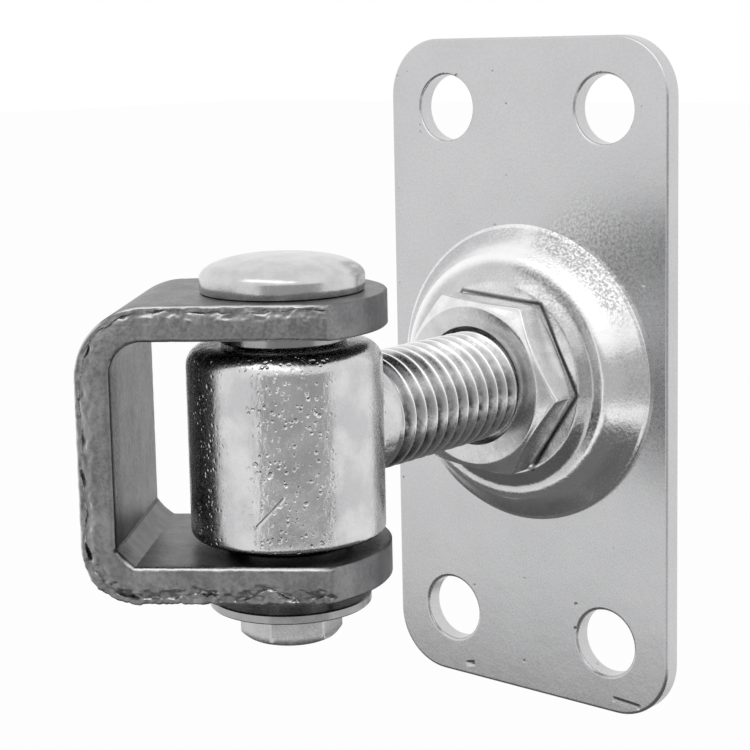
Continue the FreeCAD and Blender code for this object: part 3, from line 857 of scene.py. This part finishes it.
def zinc_bolt():
    """Zinc plated forging: a dented barrel; a thread with dark grooves and a painted crest
    highlight.
    """
    n = Nodes("zinc_forging_bolt", (0.66, 0.66, 0.67), 1.0, 0.2)
    clouds, grain = n.noise(5.0, 5.0), n.noise(0.45, 4.0, 0.6)
    thread, groove, crest_highlight, upper, dented = bolt_masks(n)
    smooth = n.minus(1.0, thread)
    flecks = n.ramp(n.noise(1.7, 5.0, 0.65), 0.36, 0.6)
    # The grooves darken in mottled patches, more towards the rod's lower side as painted shade
    darkening = n.times(groove, n.plus(n.times(flecks, 0.75), 0.25))
    darkening = n.times(darkening, n.times(thread, upper))
    colour = n.blend(n.ramp(clouds, 0.35, 0.65), (0.58, 0.58, 0.59), (0.72, 0.72, 0.725))
    # A painted highlight along the thread's crests
    colour = n.blend(n.times(crest_highlight, thread), colour, grey(0.93))
    n.set(Base_Color=n.blend(darkening, colour, grey(0.1)))
    n.set(Roughness=n.plus(n.ramp(grain, 0.3, 0.7, 0.19, 0.3), n.times(darkening, 0.2)))
    patches = n.ramp(n.noise(4.0, 2.0), 0.4, 0.6, 0.35, 1.0)
    pits = n.larger(dents(n, 0.9, 1.0, 0.48), dents(n, 0.7, 1.0, 0.46))
    pits = n.times(n.times(pits, n.times(patches, dented)), smooth)
    ripple = n.times(n.noise(0.9, 3.0, 0.5, (1, 1, 0.45)), n.times(dented, smooth))
    below = n.bump(n.noise(4.5, 2.0, 0.4), 0.14, 0.5)
    below = n.bump(ripple, 0.1, 0.9, below)
    below = n.bump(pits, -0.14, 1.0, below)
    below = n.bump(scratch(n, *BARREL_SCRATCH, 0.32), -0.12, 1.0, below)
    n.bump(n.noise(0.6, 3.0, 0.5), 0.02, 0.5, below)
    return n.material


def zinc_bright(name="zinc_bright_turned", painted_light=1.0, face=1.0):
    """Zinc on small turned and pressed parts, with fine marks.

    Its brightness scale is painted light or shade, and face scales the faces along Y once more as
    shade.
    """
    n = Nodes(name, (0.62 * painted_light, 0.62 * painted_light, 0.625 * painted_light), 1.0, 0.2)
    clouds, fine = n.noise(3.0, 4.0), n.noise(0.35, 4.0, 0.6)
    colour = n.blend(n.ramp(clouds, 0.35, 0.65), grey(0.57 * painted_light), grey(0.66 * painted_light))
    along_y = n.size(n.add("SeparateXYZ", Vector=n.normal).outputs["Y"])
    flat = n.ramp(along_y, 0.95, 0.98)
    # Painted shade on the faces along Y
    n.set(Base_Color=n.blend(n.times(flat, 1.0 - face), colour, grey(0.1)))
    n.set(Roughness=n.ramp(fine, 0.3, 0.7, 0.17, 0.28))
    below = n.bump(n.noise(2.5, 2.0, 0.4), 0.05, 0.5)
    n.bump(n.noise(0.6, 4.0, 0.6), 0.02, 0.5, below)
    return n.material


def bar_places(n):
    """In the bracket's own frame: the place along the arms, across and up, and off the pin."""
    split = n.add("SeparateXYZ", Vector=n.place)
    x, z = split.outputs["X"], split.outputs["Z"]
    y = n.minus(split.outputs["Y"], PIVOT_Y * MM)
    c, s = math.cos(SWING), math.sin(SWING)
    along = n.plus(n.times(x, c), n.times(y, s))
    side = n.minus(n.times(y, c), n.times(x, s))
    return along, side, z, n.distance(x, y)


def bar_painted_shade(n, along, side, z, from_pin, rolled, strap_inside):
    """Painted shade on the bar: by the pin, inside the strap, in the fold, below and in hollows."""
    inner = ARM_TOP - BAR_THICK
    between_arms = n.ramp(n.size(z), *mm(inner + 0.4, inner + 0.8), 1.0, 0.0)
    # Painted shadow around the pin between the arms
    pin_contact_shadow = n.times(n.ramp(from_pin, *mm(12.5, 15.5), 1.0, 0.0), between_arms)
    shaded = n.times(strap_inside, n.ramp(side, *mm(-11.5, -8.5), 0.75, 0.0))
    from_strap = n.minus(along, (STRAP_X + BAR_THICK) * MM)
    from_fold = n.plus(z, (inner - LOWER_FOLD) * MM)
    # Painted shade along the fold's inner crease
    fold_shade = n.ramp(n.distance(from_strap, from_fold), *mm(0.2, 0.5), 0.95, 0.0)
    # Painted shade under the lower arm
    under = n.ramp(z, *mm(0.1 - ARM_TOP, 0.3 - ARM_TOP), 0.85, 0.0)
    pointed = n.add("NewGeometry").outputs["Pointiness"]
    # Painted shade in hollows, by pointiness
    hollows = n.ramp(pointed, 0.4, 0.475, 0.92, 0.0)
    darkening = n.times(pin_contact_shadow, 0.9)
    for mask in (n.times(shaded, rolled), fold_shade, n.times(under, rolled), hollows):
        darkening = n.larger(darkening, mask)
    return darkening


def raw_steel():
    """Hot rolled bar: dull scale on the rolled faces, lighter bare metal on the sheared sides."""
    n = Nodes("raw_steel_bar", (0.25, 0.25, 0.255), 1.0, 0.4)
    clouds, grain = n.noise(4.0, 6.0, 0.6), n.noise(0.5, 5.0, 0.65)
    tone = n.ramp(n.plus(n.times(clouds, 0.6), n.times(grain, 0.4)), 0.36, 0.64)
    across = (-math.sin(SWING), math.cos(SWING), 0)
    facing = n.size(n.vector("DOT_PRODUCT", n.normal, across))
    rolled = n.ramp(facing, 0.3, 0.6, 1.0, 0.0)
    scale = n.blend(tone, (0.11, 0.11, 0.115), (0.2, 0.2, 0.205))
    bare = n.blend(tone, (0.22, 0.22, 0.225), (0.35, 0.35, 0.355))
    colour = n.blend(n.ramp(facing, 0.5, 0.8), scale, bare)
    along, side, z, from_pin = bar_places(n)
    strap_inside = n.band(along, *mm(-23.2, -22.4, -21.2, -20.0))
    darkening = bar_painted_shade(n, along, side, z, from_pin, rolled, strap_inside)
    # Painted shade and shadow on the bar, darkest by the pin
    colour = n.blend(darkening, colour, grey(0.03))
    # Worn sheared edges shine, partly painted highlight, but for the arm ends and the strap's
    # inside
    wear_and_highlight = n.band(facing, 0.2, 0.5, 0.82, 0.95)
    wear_and_highlight = n.times(wear_and_highlight, n.ramp(along, *mm(5.0, 8.0), 1.0, 0.0))
    wear_and_highlight = n.times(wear_and_highlight, n.minus(1.0, strap_inside))
    # Wear and painted highlight on the edges and lumps of the sheared sides
    n.set(Base_Color=n.blend(n.times(wear_and_highlight, 0.75), colour, grey(0.66)))
    n.set(Roughness=n.minus(n.ramp(grain, 0.3, 0.7, 0.3, 0.46), n.times(wear_and_highlight, 0.1)))
    below = n.bump(n.noise(1.4, 3.0, 0.5), 0.08, 0.5)
    n.bump(n.noise(0.35, 5.0, 0.65), 0.05, 0.6, below)
    return n.material


def dress(obj, material):
    obj.data.materials.clear()
    obj.data.materials.append(material)


def put(piece, node, body, finish):
    """A piece that stands for a node of the frame."""
    dress(piece, finish)
    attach(piece, body)
    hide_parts(node)


plate_finish = zinc_plate()
boss_finish = zinc_boss()
bolt_finish = zinc_bolt()
bright_finish = zinc_bright()
# A darker copy as painted shade, for the sleeve, spacers and washers in the shaded gaps
shaded_finish = zinc_bright("zinc_bright_shaded", 0.6)
# A brighter copy as painted light, with painted shade on its faces along Y
lock_nut_finish = zinc_bright("zinc_bright_lock_nut", 1.35, 0.75)
# A darker copy as painted shade, for the nut below the bracket
pin_nut_finish = zinc_bright("zinc_bright_nut", 0.85)
bar_finish = raw_steel()

for name in ("pivot_sleeve", "upper_spacer", "lower_washer", "pin_washer"):
    dress(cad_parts[name], shaded_finish)
dress(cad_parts["mounting_plate"], plate_finish)

put(make_boss(), "threaded_boss", "plate", boss_finish)
put(make_lock_nut(), "lock_nut", "lock_nut", lock_nut_finish)
put(make_eye_bolt(), "eye_bolt", "eye_bolt", bolt_finish)
put(make_bracket(), "clevis_bracket", "clevis", bar_finish)
put(make_pin(), "hinge_pin", "clevis", bright_finish)
put(make_pin_nut(), "pin_nut", "clevis", pin_nut_finish)


# Studio: white room, pale floor, soft lamps, and grey cards that only metal mirrors

FLOOR_Z = -0.16
# The object's middle, where the lamps point
AIM = Vector((0, -0.04, 0))


def sheet_object(name, corners, material):
    """A flat or curved sheet through rows of points, part of the studio."""
    mesh = bpy.data.meshes.new(name)
    across = len(corners[0])
    points = [point for row in corners for point in row]
    faces = [
        (r * across + k, r * across + k + 1, (r + 1) * across + k + 1, (r + 1) * across + k)
        for r in range(len(corners) - 1) for k in range(across - 1)]
    mesh.from_pydata(points, [], faces)
    obj = bpy.data.objects.new(name, mesh)
    bpy.context.scene.collection.objects.link(obj)
    obj.data.materials.append(material)
    return obj


def glow(name, level):
    material = bpy.data.materials.new(name)
    material.use_nodes = True
    tree = material.node_tree
    emission = tree.nodes.new("ShaderNodeEmission")
    emission.inputs["Color"].default_value = (level, level, level, 1)
    tree.links.new(emission.outputs["Emission"], tree.nodes["Material Output"].inputs["Surface"])
    return material


def add_card(name, corners, level):
    """A grey card that shows only in the metal's reflections."""
    card = sheet_object(name, corners, glow(name + "_grey", level))
    card.visible_camera = False
    card.visible_diffuse = False
    card.visible_shadow = False
    card.visible_transmission = False


def toward(azimuth, elevation, distance):
    """A place seen from the object in a direction given in degrees, +X at azimuth 0."""
    a, e = math.radians(azimuth), math.radians(elevation)
    flat = distance * math.cos(e)
    return AIM + Vector((flat * math.cos(a), flat * math.sin(a), distance * math.sin(e)))


def make_floor():
    """Pale floor: white to the camera and in reflections, and darker where the object shades it."""
    material = bpy.data.materials.new("studio_floor_pale")
    material.use_nodes = True
    tree = material.node_tree
    shader = tree.nodes["Principled BSDF"]
    shader.inputs["Base Color"].default_value = (0.8, 0.8, 0.8, 1)
    shader.inputs["Roughness"].default_value = 0.9
    white = tree.nodes.new("ShaderNodeEmission")
    white.inputs["Strength"].default_value = 1.0
    path = tree.nodes.new("ShaderNodeLightPath")
    seen = path.outputs["Is Camera Ray"]
    for ray in ("Is Glossy Ray", "Is Transmission Ray"):
        either = tree.nodes.new("ShaderNodeMath")
        either.operation = "MAXIMUM"
        tree.links.new(seen, either.inputs[0])
        tree.links.new(path.outputs[ray], either.inputs[1])
        seen = either.outputs["Value"]
    white_share = 0.9
    share = tree.nodes.new("ShaderNodeMath")
    share.operation = "MULTIPLY"
    tree.links.new(seen, share.inputs[0])
    share.inputs[1].default_value = white_share
    mix = tree.nodes.new("ShaderNodeMixShader")
    tree.links.new(share.outputs["Value"], mix.inputs["Fac"])
    tree.links.new(shader.outputs["BSDF"], mix.inputs[1])
    tree.links.new(white.outputs["Emission"], mix.inputs[2])
    tree.links.new(mix.outputs["Shader"], tree.nodes["Material Output"].inputs["Surface"])
    size = 5.0
    sheet_object("studio_floor", [
        [(-size, -size, FLOOR_Z), (size, -size, FLOOR_Z)],
        [(-size, size, FLOOR_Z), (size, size, FLOOR_Z)]], material)


def make_cards():
    """One card where the camera stands, and one below the object as painted shade in reflections.
    """
    steps, first, sweep = 24, -78, 82
    low, high, distance = -21.0, 14.0, 0.34
    rows = []
    for elevation in (low, high):
        height = distance * math.tan(math.radians(elevation))
        row = []
        for k in range(steps + 1):
            a = math.radians(first + sweep * k / steps)
            row.append(AIM + Vector((distance * math.cos(a), distance * math.sin(a), height)))
        rows.append(row)
    add_card("camera_side_card", rows, 0.45)
    # A dark card that stands in for the shade below the object, seen only in the metal
    left, right, front, back, height = -0.25, 0.22, -0.215, 0.12, FLOOR_Z + 0.01
    add_card("under_shade_card", [
        [(left, front, height), (right, front, height)],
        [(left, back, height), (right, back, height)]], 0.14)


def make_world():
    world = bpy.data.worlds.new("studio_world")
    bpy.context.scene.world = world
    world.use_nodes = True
    background = world.node_tree.nodes["Background"]
    background.inputs["Color"].default_value = (1, 1, 1, 1)
    background.inputs["Strength"].default_value = 1.0


def add_lamp(name, place, size, radiance):
    """A soft panel that faces the object."""
    data = bpy.data.lights.new(name, "AREA")
    data.shape = "RECTANGLE"
    data.size, data.size_y = size
    data.energy = radiance * math.pi * size[0] * size[1]
    lamp = bpy.data.objects.new(name, data)
    bpy.context.scene.collection.objects.link(lamp)
    lamp.location = place
    lamp.rotation_euler = (AIM - place).to_track_quat("-Z", "Y").to_euler()


def make_camera():
    """The photograph's camera, from a fit to the plate, boss, nut, rod and bracket."""
    azimuth, elevation, roll = (math.radians(a) for a in (40.650, 8.092, -1.203))
    focal_px, image_px, centre_row = 1799.95, 750.0, 300.0
    place_mm = (172.843, -241.919, 54.333)
    back = Vector((
        math.sin(azimuth) * math.cos(elevation), -math.cos(azimuth) * math.cos(elevation),
        math.sin(elevation)))
    level = Vector((math.cos(azimuth), math.sin(azimuth), 0))
    upright = back.cross(level)
    right = math.cos(roll) * level + math.sin(roll) * upright
    up = back.cross(right)
    data = bpy.data.cameras.new("photo_camera")
    data.sensor_width = 36.0
    data.lens = data.sensor_width * focal_px / image_px
    data.shift_y = (centre_row - image_px / 2) / image_px
    data.clip_start = 0.01
    camera = bpy.data.objects.new("photo_camera", data)
    bpy.context.scene.collection.objects.link(camera)
    turn = Matrix((right, up, back)).transposed().to_4x4()
    camera.matrix_world = Matrix.Translation(Vector(place_mm) * MM) @ turn
    bpy.context.scene.camera = camera


make_floor()
make_cards()
make_world()
add_lamp("upper_left_panel", toward(-85, 55, 0.9), (0.7, 0.35), 0.9)
add_lamp("camera_top_panel", toward(-42, 42, 0.9), (0.36, 0.26), 1.1)
make_camera()
bpy.context.scene.view_settings.view_transform = "Standard"
